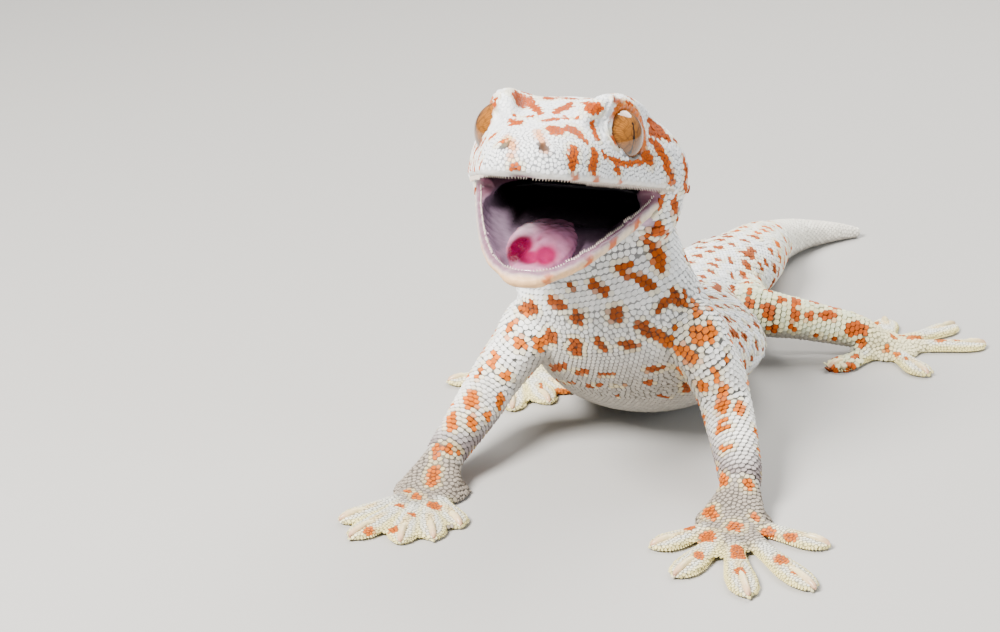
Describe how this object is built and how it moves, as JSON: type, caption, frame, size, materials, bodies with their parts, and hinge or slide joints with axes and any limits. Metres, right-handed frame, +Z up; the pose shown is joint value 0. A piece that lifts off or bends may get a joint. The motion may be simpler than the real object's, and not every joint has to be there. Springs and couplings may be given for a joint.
{
  "type": "tokay gecko",
  "caption": "Tokay gecko as a still, life-size model, raised on its spread hands with its mouth wide open, tail laid along the floor.",
  "frame": {"origin": "middle of the model's bounding box, on the floor that it rests on", "axes": "+Z up, -Y the way the head faces, +X towards the animal's left side"},
  "size_m": [0.1008, 0.1924, 0.0718],
  "materials": {
    "skin": "satin scales, blue-grey white with orange spots",
    "jaw_skin": "satin scales, peach lip and pale throat",
    "toe_skin": "satin scales, cream yellow",
    "tongue": "wet pink",
    "eye": "glossy amber with a slit pupil"
  },
  "bodies": {
    "root": {"head": "skin", "lower_jaw": "jaw_skin", "tongue": "tongue", "eye_left": "eye", "eye_right": "eye", "neck": "skin", "torso": "skin", "tail_base": "skin", "tail_middle": "skin", "tail_tip": "skin", "upper_arm_left": "skin", "forearm_left": "skin", "hand_left": "toe_skin", "upper_arm_right": "skin", "forearm_right": "skin", "hand_right": "toe_skin", "thigh_left": "skin", "shank_left": "skin", "foot_left": "toe_skin", "thigh_right": "skin", "shank_right": "skin", "foot_right": "toe_skin"}
  },
  "joints": []
}
